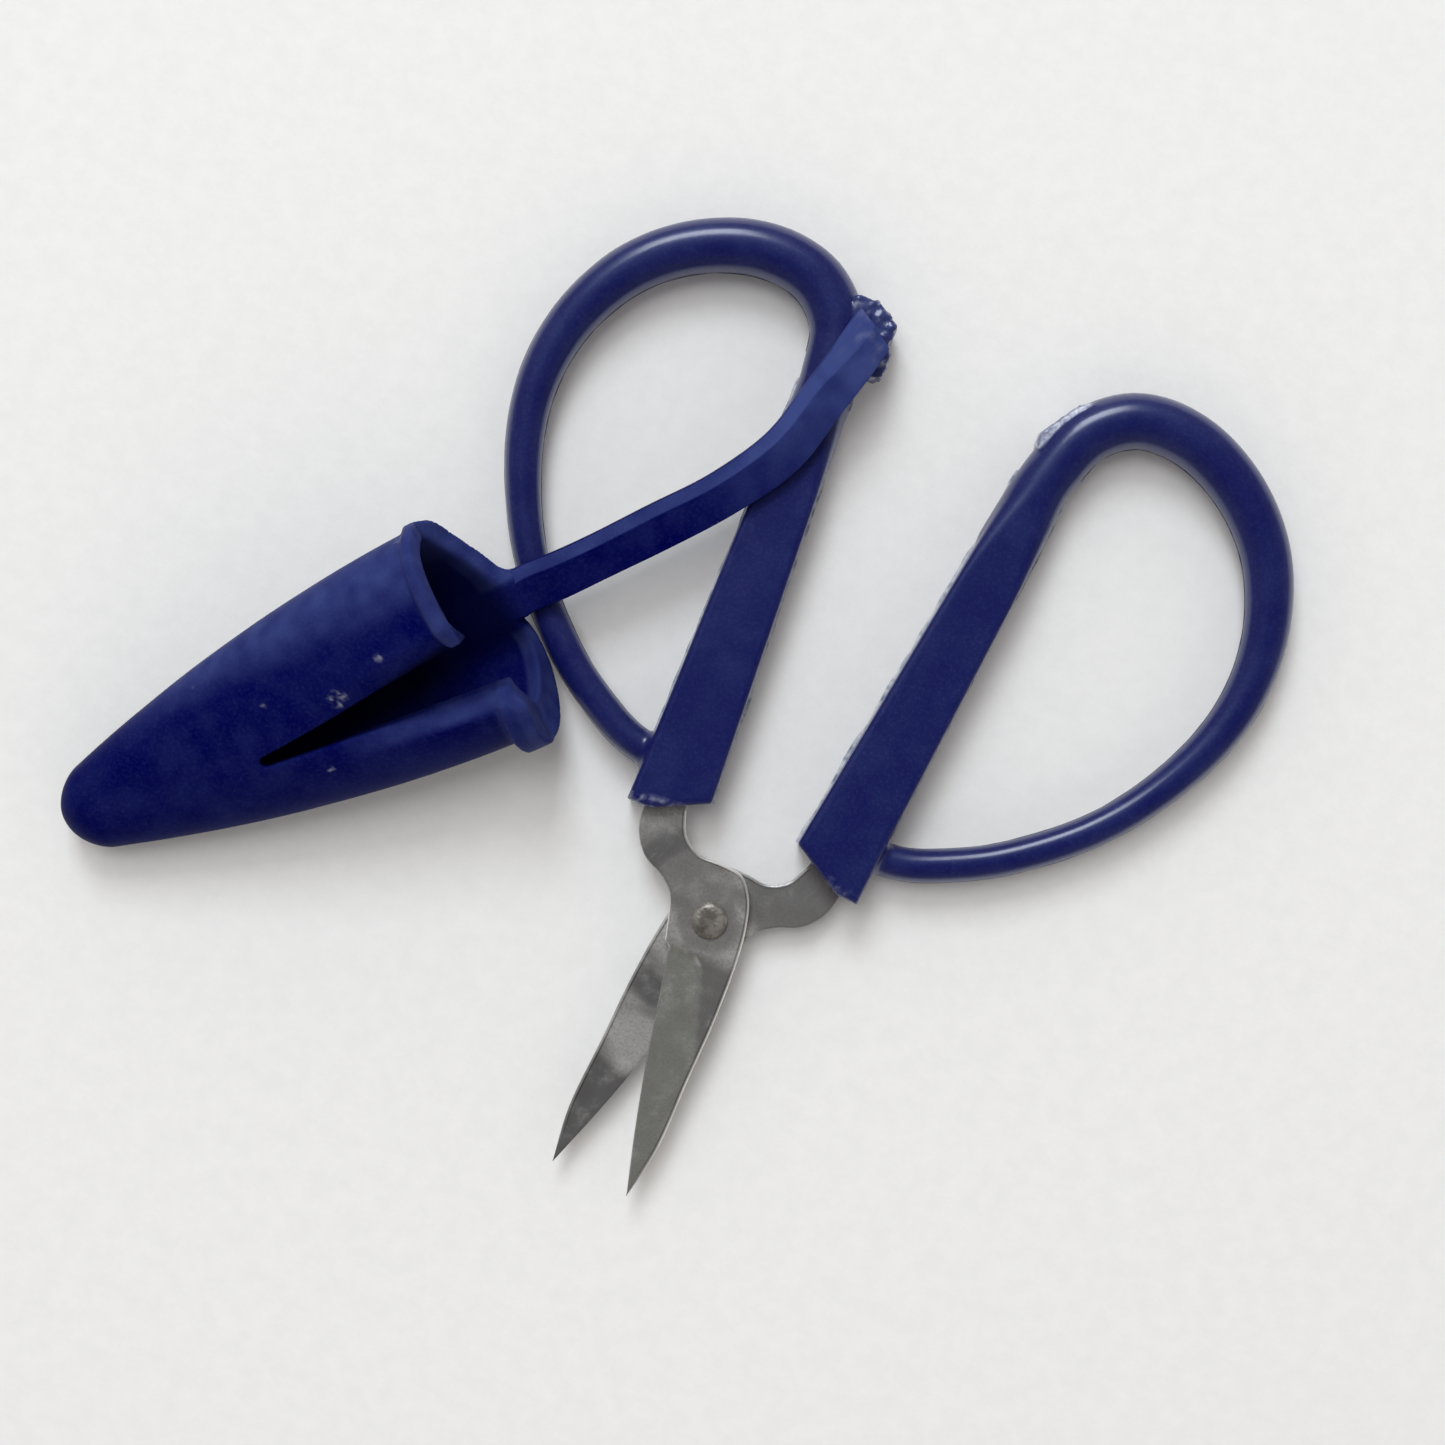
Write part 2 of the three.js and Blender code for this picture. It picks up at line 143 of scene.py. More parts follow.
def surface_net(field, low, high, pitch):
    """Points and four-sided faces of the surface where field(points), a signed distance, is zero."""
    axes = [np.arange(a, b + pitch, pitch) for a, b in zip(low, high)]
    grid = np.stack(np.meshgrid(*axes, indexing="ij"), -1)
    value = field(grid.reshape(-1, 3)).reshape(grid.shape[:3])
    size = np.array(value.shape)
    total, count, crossed = np.zeros((*(size - 1), 3)), np.zeros(size - 1), []
    for axis in range(3):
        others = [i for i in range(3) if i != axis]
        first = tuple(slice(0, -1) if i == axis else slice(None) for i in range(3))
        second = tuple(slice(1, None) if i == axis else slice(None) for i in range(3))
        a, b = value[first], value[second]
        cut = (a < 0) != (b < 0)
        crossed.append((cut, a < 0))
        point = grid[first].copy()
        point[..., axis] += pitch * np.where(cut, a / np.where(cut, a - b, 1), 0)
        for u in (0, 1):
            for v in (0, 1):
                part = [slice(None)] * 3
                part[others[0]] = slice(u, u + size[others[0]] - 1)
                part[others[1]] = slice(v, v + size[others[1]] - 1)
                part = tuple(part)
                total += np.where(cut[part][..., None], point[part], 0)
                count += cut[part]
    used = count > 0
    index = np.full(used.shape, -1)
    index[used] = np.arange(used.sum())
    points = total[used] / count[used][:, None]
    faces = []
    for axis, (cut, starts_inside) in enumerate(crossed):
        p, q = (axis + 1) % 3, (axis + 2) % 3
        at = np.argwhere(cut)
        at = at[(at[:, p] > 0) & (at[:, p] < size[p] - 1) & (at[:, q] > 0) & (at[:, q] < size[q] - 1)]
        ring = []
        for dp, dq in ((1, 1), (0, 1), (0, 0), (1, 0)):
            cell = at.copy()
            cell[:, p] -= dp
            cell[:, q] -= dq
            ring.append(index[tuple(cell.T)])
        quads = np.stack(ring, 1)
        outward = starts_inside[tuple(at.T)]
        faces.append(np.where(outward[:, None], quads, quads[:, ::-1]))
    points = settle(points, field, pitch)
    return points, np.vstack(faces)


def slope(points, field, step=0.02):
    """Gradient of a field at each point."""
    nudges = np.eye(3) * step
    return np.stack([(field(points + n) - field(points - n)) / (2 * step) for n in nudges], 1)


def settle(points, field, reach):
    """Moves the points onto the surface where the field is zero."""
    for _ in range(2):
        gradient = slope(points, field)
        steepness = np.maximum((gradient**2).sum(1), 0.05)
        shift = -(field(points) / steepness)[:, None] * gradient
        length = np.maximum(np.linalg.norm(shift, axis=1, keepdims=True), 1e-9)
        points = points + shift * np.minimum(1, 0.5 * reach / length)
    return points


def wobble(points, size, seed=0):
    """Smooth noise from -1 to 1 at each point, with lumps of about that size."""
    shifted = np.asarray(points) / size + seed * 17.3
    return np.array([noise.noise(Vector(p)) for p in shifted])


def swept(path, section_at):
    """Points and faces of a closed bar: a section carried along a path, with flat ends."""
    rings = []
    for i, centre in enumerate(path):
        ahead = path[min(i + 1, len(path) - 1)] - path[max(i - 1, 0)]
        ahead = ahead / np.linalg.norm(ahead)
        side = np.cross(ahead, (0, 0, 1))
        side = side / np.linalg.norm(side)
        up = np.cross(side, ahead)
        across, upward, forward = section_at(i / (len(path) - 1)).T
        rings.append(centre + across[:, None] * side + upward[:, None] * up + forward[:, None] * ahead)
    sides = len(rings[0])
    points = np.vstack(rings)
    faces = []
    for r in range(len(rings) - 1):
        for s in range(sides):
            a, b = r * sides + s, r * sides + (s + 1) % sides
            faces.append((b, a, a + sides, b + sides))
    faces.append(tuple(range(sides)))
    faces.append(tuple(reversed(range(len(points) - sides, len(points)))))
    return points, faces


def rounded_outline(corners, radius, between=0, steps=4):
    """A closed outline with its corners rounded, and with so many points between them, anticlockwise."""
    c = np.array(corners, float)
    before, after = np.roll(c, 1, axis=0), np.roll(c, -1, axis=0)
    enter = c + radius * (before - c) / np.linalg.norm(before - c, axis=1, keepdims=True)
    leave = c + radius * (after - c) / np.linalg.norm(after - c, axis=1, keepdims=True)
    out = []
    for first, corner, last, following in zip(enter, c, leave, np.roll(enter, -1, axis=0)):
        for t in np.linspace(0, 1, steps):
            out.append((1 - t) ** 2 * first + 2 * t * (1 - t) * corner + t**2 * last)
        out += [last + (following - last) * i / (between + 1) for i in range(1, between + 1)]
    return np.array(out)


def left_half(points):
    """From the drawn half to the row frame: the half that lies on top and holds the tether."""
    return placed(points, Matrix.Translation(PIVOT) @ Matrix.Rotation(HALF_OPENING, 4, "Z"))


def right_half(points):
    """From the drawn half to the row frame: the same half turned over."""
    turn = Matrix.Rotation(-HALF_OPENING, 4, "Z") @ Matrix.Rotation(math.pi, 4, "Y")
    return placed(points, Matrix.Translation(PIVOT) @ turn)


def placed(points, matrix):
    m = np.array(matrix)
    return np.asarray(points) @ m[:3, :3].T + m[:3, 3]


def make_piece(name, points, faces, material, slot, sharp_angle=60, **marks):
    """A mesh object from points in millimetres in the row frame.

    Marks are shares from 0 to 1 at each point, which the piece's material reads.
    """
    mesh = bpy.data.meshes.new(name)
    mesh.from_pydata((np.asarray(points) * MM).tolist(), [], [tuple(int(i) for i in f) for f in faces])
    mesh.validate()
    mesh.shade_smooth()
    mesh.set_sharp_from_angle(angle=math.radians(sharp_angle))
    for mark, values in marks.items():
        attribute = mesh.attributes.new(mark, "FLOAT", "POINT")
        attribute.data.foreach_set("value", np.clip(values, 0, 1).astype(np.float32))
    mesh.materials.append(material)
    piece = bpy.data.objects.new(name, mesh)
    bpy.context.scene.collection.objects.link(piece)
    return piece


# ---------------------------------------------------------------- materials

STEEL_METALLIC = 0.72  # the rest is light that the fine grain scatters
RIVET_METALLIC = 0.8


class Shader:
    """A material with a Principled shader, and short calls that add nodes to it. Lengths are in metres."""

    def __init__(self, name, **sockets):
        self.material = bpy.data.materials.new(name)
        self.material.use_nodes = True
        self.tree = self.material.node_tree
        self.principled = self.tree.nodes["Principled BSDF"]
        for socket, value in sockets.items():
            self.principled.inputs[socket.replace("_", " ")].default_value = value
        self.place = self.add("ShaderNodeTexCoord").outputs["Object"]

    def add(self, kind, inputs=None, **settings):
        node = self.tree.nodes.new(kind)
        for key, value in settings.items():
            setattr(node, key, value)
        for key, value in (inputs or {}).items():
            if isinstance(value, bpy.types.NodeSocket):
                self.tree.links.new(value, node.inputs[key])
            else:
                node.inputs[key].default_value = value
        return node

    def stretched(self, scale, turn=0.0):
        """Object coordinates turned about Z and scaled, so that a pattern runs long and thin."""
        turned = self.add("ShaderNodeMapping", {"Vector": self.place, "Rotation": (0, 0, turn)})
        return self.add("ShaderNodeMapping", {"Vector": turned.outputs[0], "Scale": scale}).outputs[0]

    def noise(self, lump, detail=3.0, vector=None, roughness=0.55):
        """Noise with lumps of about that many metres, or of 1 in a vector that is scaled already."""
        inputs = {"Vector": vector or self.place, "Scale": 1 / lump, "Detail": detail, "Roughness": roughness}
        return self.add("ShaderNodeTexNoise", inputs).outputs["Fac"]

    def spread(self, value, low, high, to_low=0.0, to_high=1.0):
        """Maps low..high to to_low..to_high, and stops there."""
        inputs = {0: value, 1: low, 2: high, 3: to_low, 4: to_high}
        return self.add("ShaderNodeMapRange", inputs, interpolation_type="SMOOTHSTEP").outputs[0]

    def mark(self, name):
        """A share from 0 to 1 that the mesh holds at each point, or 0 where it holds none."""
        return self.add("ShaderNodeAttribute", attribute_name=name).outputs["Fac"]

    def maths(self, operation, a, b):
        return self.add("ShaderNodeMath", {0: a, 1: b}, operation=operation).outputs[0]

    def mix(self, factor, a, b):
        node = self.add("ShaderNodeMix", data_type="RGBA")
        for key, value in ((0, factor), (6, a), (7, b)):
            if isinstance(value, bpy.types.NodeSocket):
                self.tree.links.new(value, node.inputs[key])
            elif key == 0:
                node.inputs[key].default_value = value
            else:
                node.inputs[key].default_value = (*value, 1)
        return node.outputs[2]

    def bump(self, height, distance, strength=1.0, under=None):
        inputs = {"Height": height, "Distance": distance, "Strength": strength}
        if under:
            inputs["Normal"] = under
        return self.add("ShaderNodeBump", inputs).outputs[0]

    def wire(self, **sockets):
        for socket, value in sockets.items():
            self.tree.links.new(value, self.principled.inputs[socket.replace("_", " ")])
        return self.material


def blade_steel(name, turn):
    """Stainless plate with soft dark bands of painted reflection, lighter blotches of painted reflection, a
    fine grain and a painted highlight along its spine edge.

    The mesh marks its ground face, the painted highlight along its edge, the painted shade in the crease
    beside the edge and the parts painted dark as reflections.
    """
    s = Shader(name, Metallic=STEEL_METALLIC)
    bands = s.noise(1.0, detail=2, vector=s.stretched((95, 190, 140), turn), roughness=0.4)
    clouds = s.noise(0.0024, detail=5, roughness=0.68)
    grain = s.noise(0.00028, detail=4, roughness=0.75)
    lines = s.noise(1.0, detail=3, vector=s.stretched((900, 9000, 900), turn))
    scratches = s.noise(1.0, detail=1, vector=s.stretched((9000, 260, 400), turn + 0.5))
    # painted reflection: the dark bands and the shade mark darken the steel where it would mirror something
    # dark
    shade = s.maths("MAXIMUM", s.spread(bands, 0.46, 0.66, 0.0, 0.6), s.mark("shade"))
    tone = s.mix(shade, (0.80, 0.79, 0.78), (0.14, 0.138, 0.148))
    tone = s.mix(s.maths("MULTIPLY", s.mark("ground"), 0.75), tone, (0.45, 0.46, 0.42))
    # lighter blotches of painted reflection
    tone = s.mix(s.spread(clouds, 0.5, 0.75, 0.0, 0.35), tone, (0.80, 0.80, 0.78))
    tone = s.mix(s.spread(grain, 0.4, 0.65, 0.0, 0.40), tone, (0.22, 0.22, 0.215))
    tone = s.mix(s.spread(scratches, 0.71, 0.78, 0.0, 0.35), tone, (0.85, 0.85, 0.82))
    # painted shade in the crease beside the edge, then a painted highlight along the edge
    tone = s.mix(s.mark("crease"), tone, (0.03, 0.03, 0.033))
    tone = s.mix(s.mark("edge"), tone, (0.97, 0.95, 0.92))
    rough = s.maths("ADD", s.spread(clouds, 0.3, 0.7, 0.30, 0.42), s.spread(grain, 0.3, 0.7, 0.0, 0.10))
    normal = s.bump(bands, 0.00014)
    normal = s.bump(lines, 0.000008, under=normal)
    normal = s.bump(grain, 0.000012, under=normal)
    return s.wire(Base_Color=tone, Roughness=rough, Normal=normal)


def rivet_steel():
    """Peened rivet head: duller, warmer and pitted."""
    s = Shader("rivet_steel", Metallic=RIVET_METALLIC)
    pits = s.noise(0.00045, detail=4)
    patches = s.noise(0.0016, detail=2)
    tone = s.mix(s.spread(patches, 0.35, 0.65), (0.30, 0.275, 0.25), (0.50, 0.47, 0.43))
    tone = s.mix(s.spread(pits, 0.5, 0.75, 0.0, 0.6), tone, (0.2, 0.185, 0.17))
    normal = s.bump(pits, 0.00006)
    return s.wire(Base_Color=tone, Roughness=s.spread(patches, 0.3, 0.7, 0.42, 0.56), Normal=normal)


def navy_plastic(name, base, light, rough_low, rough_high, grain_depth, speckle, **sockets):
    """Moulded navy plastic with a fine grain.

    The mesh marks where it is lighter (tone: painted light on the cap and the strap, a paler torn stub on a
    grip), scuffed or stressed pale (wear) and painted shade in a hollow (deep).
    """
    s = Shader(name, **sockets)
    mottle = s.noise(0.004, detail=3)
    dust = s.noise(0.00035, detail=3, roughness=0.65)
    skin = s.noise(0.0009, detail=3)
    # the tone mark adds painted light where the mesh carries it
    lighter = s.maths("ADD", s.mark("tone"), s.spread(mottle, 0.3, 0.7, 0.0, 0.12))
    lighter = s.maths("ADD", lighter, s.spread(dust, 0.42, 0.8, 0.0, speckle))
    tone = s.mix(lighter, base, light)
    # painted shade: the inside of a hollow made dark
    tone = s.mix(s.mark("deep"), tone, (0.0001, 0.0001, 0.010))
    wear = s.mark("wear")
    broken = s.maths("MULTIPLY", wear, s.spread(dust, 0.3, 0.6, 0.45, 1.0))
    tone = s.mix(broken, tone, (0.52, 0.56, 0.68))
    rough = s.maths("ADD", s.spread(mottle, 0.3, 0.7, rough_low, rough_high), s.maths("MULTIPLY", wear, 0.2))
    normal = s.bump(skin, grain_depth)
    normal = s.bump(dust, grain_depth * 0.3, under=normal)
    return s.wire(Base_Color=tone, Roughness=rough, Normal=normal)


def gloss_navy():
    """The grips' plastic, with a clear shine over a soft one."""
    return navy_plastic(
        "gloss_navy",
        base=(0.0018, 0.0028, 0.080),
        light=(0.030, 0.044, 0.17),
        rough_low=0.42,
        rough_high=0.50,
        grain_depth=0.000008,
        speckle=0.30,
        Specular_IOR_Level=0.6,
        Specular_Tint=(0.48, 0.62, 1.0, 1),
        Coat_Weight=0.8,
        Coat_Roughness=0.22,
        Coat_IOR=1.55,
    )


def satin_navy():
    """The softer plastic of the strap and the cap."""
    return navy_plastic(
        "satin_navy",
        base=(0.0001, 0.0004, 0.062),
        light=(0.036, 0.052, 0.185),
        rough_low=0.44,
        rough_high=0.54,
        grain_depth=0.00001,
        speckle=0.14,
        Specular_IOR_Level=0.08,
        Specular_Tint=(0.4, 0.7, 1.0, 1),
        IOR=1.35,
    )


def flash_plastic():
    """The thin skin of plastic along the mould's parting line, pale where light passes through it."""
    s = Shader("flash_plastic", Roughness=0.35)
    breaks = s.noise(0.0016, detail=3)
    dark = s.mix(s.spread(breaks, 0.35, 0.7), (0.012, 0.016, 0.06), (0.07, 0.085, 0.15))
    pale = s.mix(s.spread(breaks, 0.3, 0.6), (0.16, 0.19, 0.28), (0.50, 0.54, 0.60))
    return s.wire(Base_Color=s.mix(s.mark("pale"), dark, pale))


def paper():
    s = Shader("pale_surface", Roughness=0.9)
    fibres = s.noise(0.0025, detail=5, roughness=0.7)
    tone = s.mix(s.spread(fibres, 0.3, 0.7), (0.745, 0.762, 0.775), (0.775, 0.791, 0.805))
    return s.wire(Base_Color=tone, Normal=s.bump(fibres, 0.00005))


# ---------------------------------------------------------------- blades and rivet

PLATE_THICKNESS = 1.3
PLATE_BOTTOM = 0.1  # half the gap between the two plates
RIVET_RADIUS = 1.95
RIVET_SHANK_RADIUS = 1.45
RIVET_HOLE_RADIUS = 1.54
RIVET_SIDES = 72
RIVET_HEAD = [
    (0.0, 0.55), (0.40, 0.55), (0.70, 0.53), (0.82, 0.47),
    (0.92, 0.34), (0.985, 0.19), (1.0, 0.07), (0.97, 0.0),
]  # share of the radius, and height in millimetres
EDGE_ROUNDING = 0.3
PLATE_PITCH = 0.42  # between the points of the plate's faces
RIM_ROWS = (0.06, 0.13, 0.21, EDGE_ROUNDING, 0.45)  # rows of points this far in from the outline
GRIND_START = np.array([0.6, -4.0])
GRIND_RUN = np.array([2.2, -10.0])
GRIND_SLOPE = 0.16
RICASSO_Y = -3.55  # where the ground face stops in a short arc, just past the rivet


def plate_outline():
    """Blade, round shoulder, S-curved shank and tang, anticlockwise from the tip."""
    spine = smooth_path([
        (0, -30.8), (1.7, -25), (2.7, -17), (3.6, -10), (4.05, -3.5), (3.95, 0.5), (3.3, 3.5),
        (1.9, 5.5), (-0.6, 6.1), (-3.2, 6.4), (-4.9, 7.8), (-5.8, 10.6),
    ])
    around = np.linspace(0, math.pi, 13)
    tang_end = np.stack([-6.2 + 1.2 * np.cos(around), 34 + 1.2 * np.sin(around)], 1)
    shank = smooth_path([
        (-10.3, 10.6), (-10.0, 7.0), (-8.6, 4.6), (-6.4, 3.1), (-4.9, 1.5), (-4.35, -0.8), (-3.9, -3.7),
    ])
    edge = smooth_path([(-3.4, -4.0), (-2.75, -10), (-2.1, -16.5), (-1.2, -23.5), (0, -30.8)])
    stretches = [spine, np.vstack([spine[-1], tang_end, shank[0]]), shank, edge]
    return np.vstack([evenly(stretch, 0.35)[0][:-1] for stretch in stretches])


def ground_depth(xy):
    """How far grinding has taken the plate's upper face down."""
    run = GRIND_RUN / np.linalg.norm(GRIND_RUN)
    offset = xy - GRIND_START
    beyond_line = offset[:, 0] * run[1] - offset[:, 1] * run[0]
    facet = GRIND_SLOPE * beyond_line
    arc = 1.1 * (RICASSO_Y - xy[:, 1] - 0.09 * (xy[:, 0] + 3.0) ** 2)
    return np.maximum(0, lower_of(facet, arc, 0.06))


def lower_of(a, b, radius):
    """The lower of two heights, with the crease between them rounded."""
    h = np.clip(0.5 + 0.5 * (b - a) / radius, 0, 1)
    return b + (a - b) * h - radius * h * (1 - h)


def blade_plate():
    """Points and faces of the plate in the drawn half."""
    outline = plate_outline()
    around = np.linspace(0, 2 * math.pi, 49)[:-1]
    hole = RIVET_HOLE_RADIUS * np.stack([np.cos(around), np.sin(around)], 1)
    tangent = np.roll(outline, -1, axis=0) - np.roll(outline, 1, axis=0)
    inward = np.stack([-tangent[:, 1], tangent[:, 0]], 1)
    inward /= np.linalg.norm(inward, axis=1, keepdims=True)
    free = [outline + inward * d for d in RIM_ROWS]
    columns, rows = (np.arange(a, b, PLATE_PITCH) for a, b in zip(outline.min(0), outline.max(0)))
    grid = np.stack(np.meshgrid(columns, rows), -1)
    free.append(grid.reshape(-1, 2) + 0.013)
    wanted = np.repeat([0.05, 0.11, 0.18, 0.26, 0.4, 0.6], [len(f) for f in free])
    free = np.vstack(free)
    clear_of_rim = polygon_distance(free, outline) < -wanted
    clear_of_hole = np.linalg.norm(free, axis=1) > RIVET_HOLE_RADIUS + 0.15
    points = np.vstack([outline, hole, free[clear_of_rim & clear_of_hole]])
    loops = []
    for first, count in ((0, len(outline)), (len(outline), len(hole))):
        loops += [(first + i, first + (i + 1) % count) for i in range(count)]
    made = geometry.delaunay_2d_cdt([Vector(p) for p in points], loops, [], 1, 1e-6)
    xy = np.array([tuple(p) for p in made[0]])
    triangles = np.array([t for t in made[2] if len(t) == 3])
    middles = xy[triangles].mean(1)
    triangles = triangles[np.linalg.norm(middles, axis=1) > RIVET_HOLE_RADIUS * 0.99]
    a, b, c = (xy[triangles[:, i]] for i in range(3))
    turned = (b - a)[:, 0] * (c - a)[:, 1] - (b - a)[:, 1] * (c - a)[:, 0] < 0
    triangles[turned] = triangles[turned][:, ::-1]
    inside = np.maximum(0, -polygon_distance(xy, outline))
    thickness = PLATE_THICKNESS - ground_depth(xy)
    rounding = np.minimum(EDGE_ROUNDING, 0.45 * thickness)
    short = np.maximum(0, rounding - inside)
    top = PLATE_BOTTOM + thickness - (rounding - np.sqrt(np.maximum(0, rounding**2 - short**2)))
    hollow = 0.07 * smoothstep(inside, 0.3, 2.0) * smoothstep(-xy[:, 1], 2, 9)
    bottom = np.full(len(xy), PLATE_BOTTOM) + hollow + 0.08 * (1 - smoothstep(inside, 0, 0.14))
    edges = np.vstack([triangles[:, [0, 1]], triangles[:, [1, 2]], triangles[:, [2, 0]]])
    known = set(map(tuple, edges))
    rim = [(i, j) for i, j in known if (j, i) not in known]
    n = len(xy)
    solid = np.vstack([np.column_stack([xy, top]), np.column_stack([xy, bottom])])
    faces = [tuple(t) for t in triangles] + [tuple(t[::-1] + n) for t in triangles]
    faces += [(i + n, j + n, j, i) for i, j in rim]
    return solid, faces


def blade_marks(points):
    """Where the steel is ground, where a painted highlight runs along its spine edge, shoulder and ricasso
    arc, and where painted shade lies in the crease beside that edge.
    """
    xy = points[:, :2]
    outline = plate_outline()
    spine = outline[: int(np.argmax(outline[:, 1] > 10.5))]
    gap, along = path_distance(xy, spine, np.linspace(0, 1, len(spine)))
    uneven = np.clip(0.8 + 0.6 * wobble(points, 3.1, 11), 0.25, 1) * smoothstep(along, 0.02, 0.12)
    # painted highlight along the spine edge, and painted shade in the crease beside it
    edge = (1 - smoothstep(gap, 0.13, 0.30)) * uneven
    crease = smoothstep(gap, 0.18, 0.30) * (1 - smoothstep(gap, 0.30, 0.45)) * 0.8 * uneven
    shoulder = 1 - smoothstep(-polygon_distance(xy, outline), 0.06, 0.2)
    shoulder *= (xy[:, 0] < 0) * smoothstep(-xy[:, 1], -1.5, 0.5) * (1 - smoothstep(-xy[:, 1], 3.6, 4.2))
    depth = ground_depth(xy)
    arc = (1 - smoothstep(np.abs(depth - 0.10), 0.0, 0.09)) * (xy[:, 1] > RICASSO_Y - 1.4)
    # painted highlights on the shoulder and the ricasso arc join the one along the edge
    edge = np.maximum(edge, np.maximum(0.7 * shoulder, 0.6 * arc))
    ground = smoothstep(depth, 0.0, 0.04)
    return {"edge": edge, "crease": crease, "ground": ground}


def blade_painted_reflection(points, below):
    """Painted reflection: where the steel is painted dark as if it mirrored something dark, on the blade that
    lies below or on the one on top.
    """
    x, y = (points + 0.7 * wobble(points, 2.2, 5)[:, None])[:, :2].T
    if below:
        tip = 0.85 * smoothstep(-y, 17.3, 19.3)
        throat = 0.8 * smoothstep(-y, 6.5, 8.5) * (1 - smoothstep(-y, 10.3, 12.2))
        return np.maximum.reduce([tip, throat, 0.65 * smoothstep(y, 0.5, 3)])
    out = np.hypot(x, y)
    by_rivet = 0.55 * (1 - smoothstep(out, 3.0, 4.4))
    on_shank = 0.8 * smoothstep(out, 6.4, 8.2) * (1 - 0.5 * smoothstep(out, 9.8, 11.5)) * (y > 0)
    return np.maximum.reduce([by_rivet, on_shank, 0.75 * smoothstep(-y, 2.5, 5.0)])


def add_blades():
    points, faces = blade_plate()
    halves = [
        ("upper_blade", left_half, -HALF_OPENING, "left_half"),
        ("lower_blade", right_half, HALF_OPENING, "right_half"),
    ]
    for node, place, turn, body in halves:
        steel = blade_steel(node + "_steel", turn)
        below = node == "lower_blade"
        marks = blade_marks(points)
        # painted dark reflections in the steel's colour
        marks["shade"] = blade_painted_reflection(points, below)
        if below:  # turned over, so that its ground face lies underneath and the painted highlight along its spine edge is weaker
            marks["edge"] = 0.3 * marks["edge"]
            marks["ground"] = np.zeros(len(points))
        plate = make_piece(node + "_ground", place(points), faces, steel, "blades", 38, **marks)
        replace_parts(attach(plate, body), node)


def add_rivet():
    """A pin with a low, slightly uneven peened head on each face."""
    face = PLATE_BOTTOM + PLATE_THICKNESS + 0.05
    profile = [(r * RIVET_RADIUS, face + h) for r, h in RIVET_HEAD]
    profile += [(RIVET_SHANK_RADIUS, face), (RIVET_SHANK_RADIUS, -face)]
    profile += [(r * RIVET_RADIUS, -face - h) for r, h in reversed(RIVET_HEAD)]
    points, faces = [], []
    for radius, height in profile:
        for k in range(RIVET_SIDES):
            angle = 2 * math.pi * k / RIVET_SIDES
            x, y = math.cos(angle), math.sin(angle)
            on_head = radius > RIVET_SHANK_RADIUS + 0.02
            reach = radius * (1 - 0.022 * abs(math.sin(3.5 * angle + 0.6)) * on_head)
            reach = max(reach, 0.002)
            lumps = 0.05 * noise.noise(Vector((radius * x, radius * y, height)) * 1.1)
            rise = math.copysign(lumps, height) if abs(height) > face + 0.1 else 0
            points.append((reach * x, reach * y, height + rise))
    for r in range(len(profile) - 1):
        for k in range(RIVET_SIDES):
            a, b = r * RIVET_SIDES + k, r * RIVET_SIDES + (k + 1) % RIVET_SIDES
            faces.append((a, a + RIVET_SIDES, b + RIVET_SIDES, b))
    faces.append(tuple(range(RIVET_SIDES)))
    faces.append(tuple(reversed(range(len(points) - RIVET_SIDES, len(points)))))
    rivet = make_piece("rivet_peened", left_half(points), faces, rivet_steel(), "rivet", 50)
    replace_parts(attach(rivet, "left_half"), "pivot_rivet")


# ---------------------------------------------------------------- grips

GRIP_HALF_THICKNESS = 3.0
GRIP_EDGE_ROUNDING = 0.6
LEFT_LOOP_SHAPE = (0.985, math.radians(-0.6))  # scale and turn about the loop's lower end
RIGHT_LOOP_SHAPE = (1.0, 0.0)
LOOP_THIN = 1.8
LOOP_THICK = 3.0
MESH_PITCH = 0.3
LOOP_ROUTE = [
    (-8.2, 14.6), (-11.1, 15.2), (-14.4, 16.3), (-18.5, 18.9), (-23.0, 22.7), (-28.9, 29.9), (-32.4, 36.9),
    (-34.6, 45.0), (-34.7, 51.6), (-32.8, 58.4), (-28.5, 64.8), (-22.4, 69.0), (-15.3, 70.7), (-9.3, 69.3),
    (-5.7, 65.2), (-4.6, 59.5), (-4.6, 52.0), (-4.9, 45.0),
]
SLEEVE_OUTLINE = [
    (-12.1, 9.9), (-9.6, 9.6), (-3.35, 11.9), (-1.62, 58), (-1.75, 60.8), (-2.4, 63.6), (-3.6, 66),
    (-7.6, 64), (-7.55, 58), (-11.3, 17.5),
]
GATE_STUB = [
    (-4.5, 60.2), (-0.3, 59.8), (0.75, 60.2), (0.95, 62.9), (0.55, 63.8), (0.85, 66.0), (-1.7, 67.9),
    (-4.2, 67.8),
]
GATE_SCAR = [
    (-4.5, 60.6), (-1.7, 61.0), (-1.4, 61.8), (-1.3, 62.6), (-3.1, 67.1), (-4.0, 67.9), (-5.3, 68.4),
    (-6, 66),
]
STUB_HEIGHTS = (-1.6, 2.6)  # from the middle of the grip's thickness
SCAR_HEIGHTS = (-1.9, 1.9)
FLASH_ROOT = 0.25  # how deep a parting ridge starts inside the plastic
FLASH_BASE = 0.16  # half the ridge's height at its root
FLASH_TIP = 0.05


def loop_route(shape):
    """The bar's centre line, which runs on inside the sleeve, where it thins out."""
    scale, turn = shape
    route = np.array(LOOP_ROUTE)
    offset = scale * (route - route[0])
    turned = np.stack([
        offset[:, 0] * math.cos(turn) - offset[:, 1] * math.sin(turn),
        offset[:, 0] * math.sin(turn) + offset[:, 1] * math.cos(turn),
    ], 1)
    turned[-3:] = route[-3:] - route[0]
    return evenly(smooth_path(route[0] + turned), 0.8)


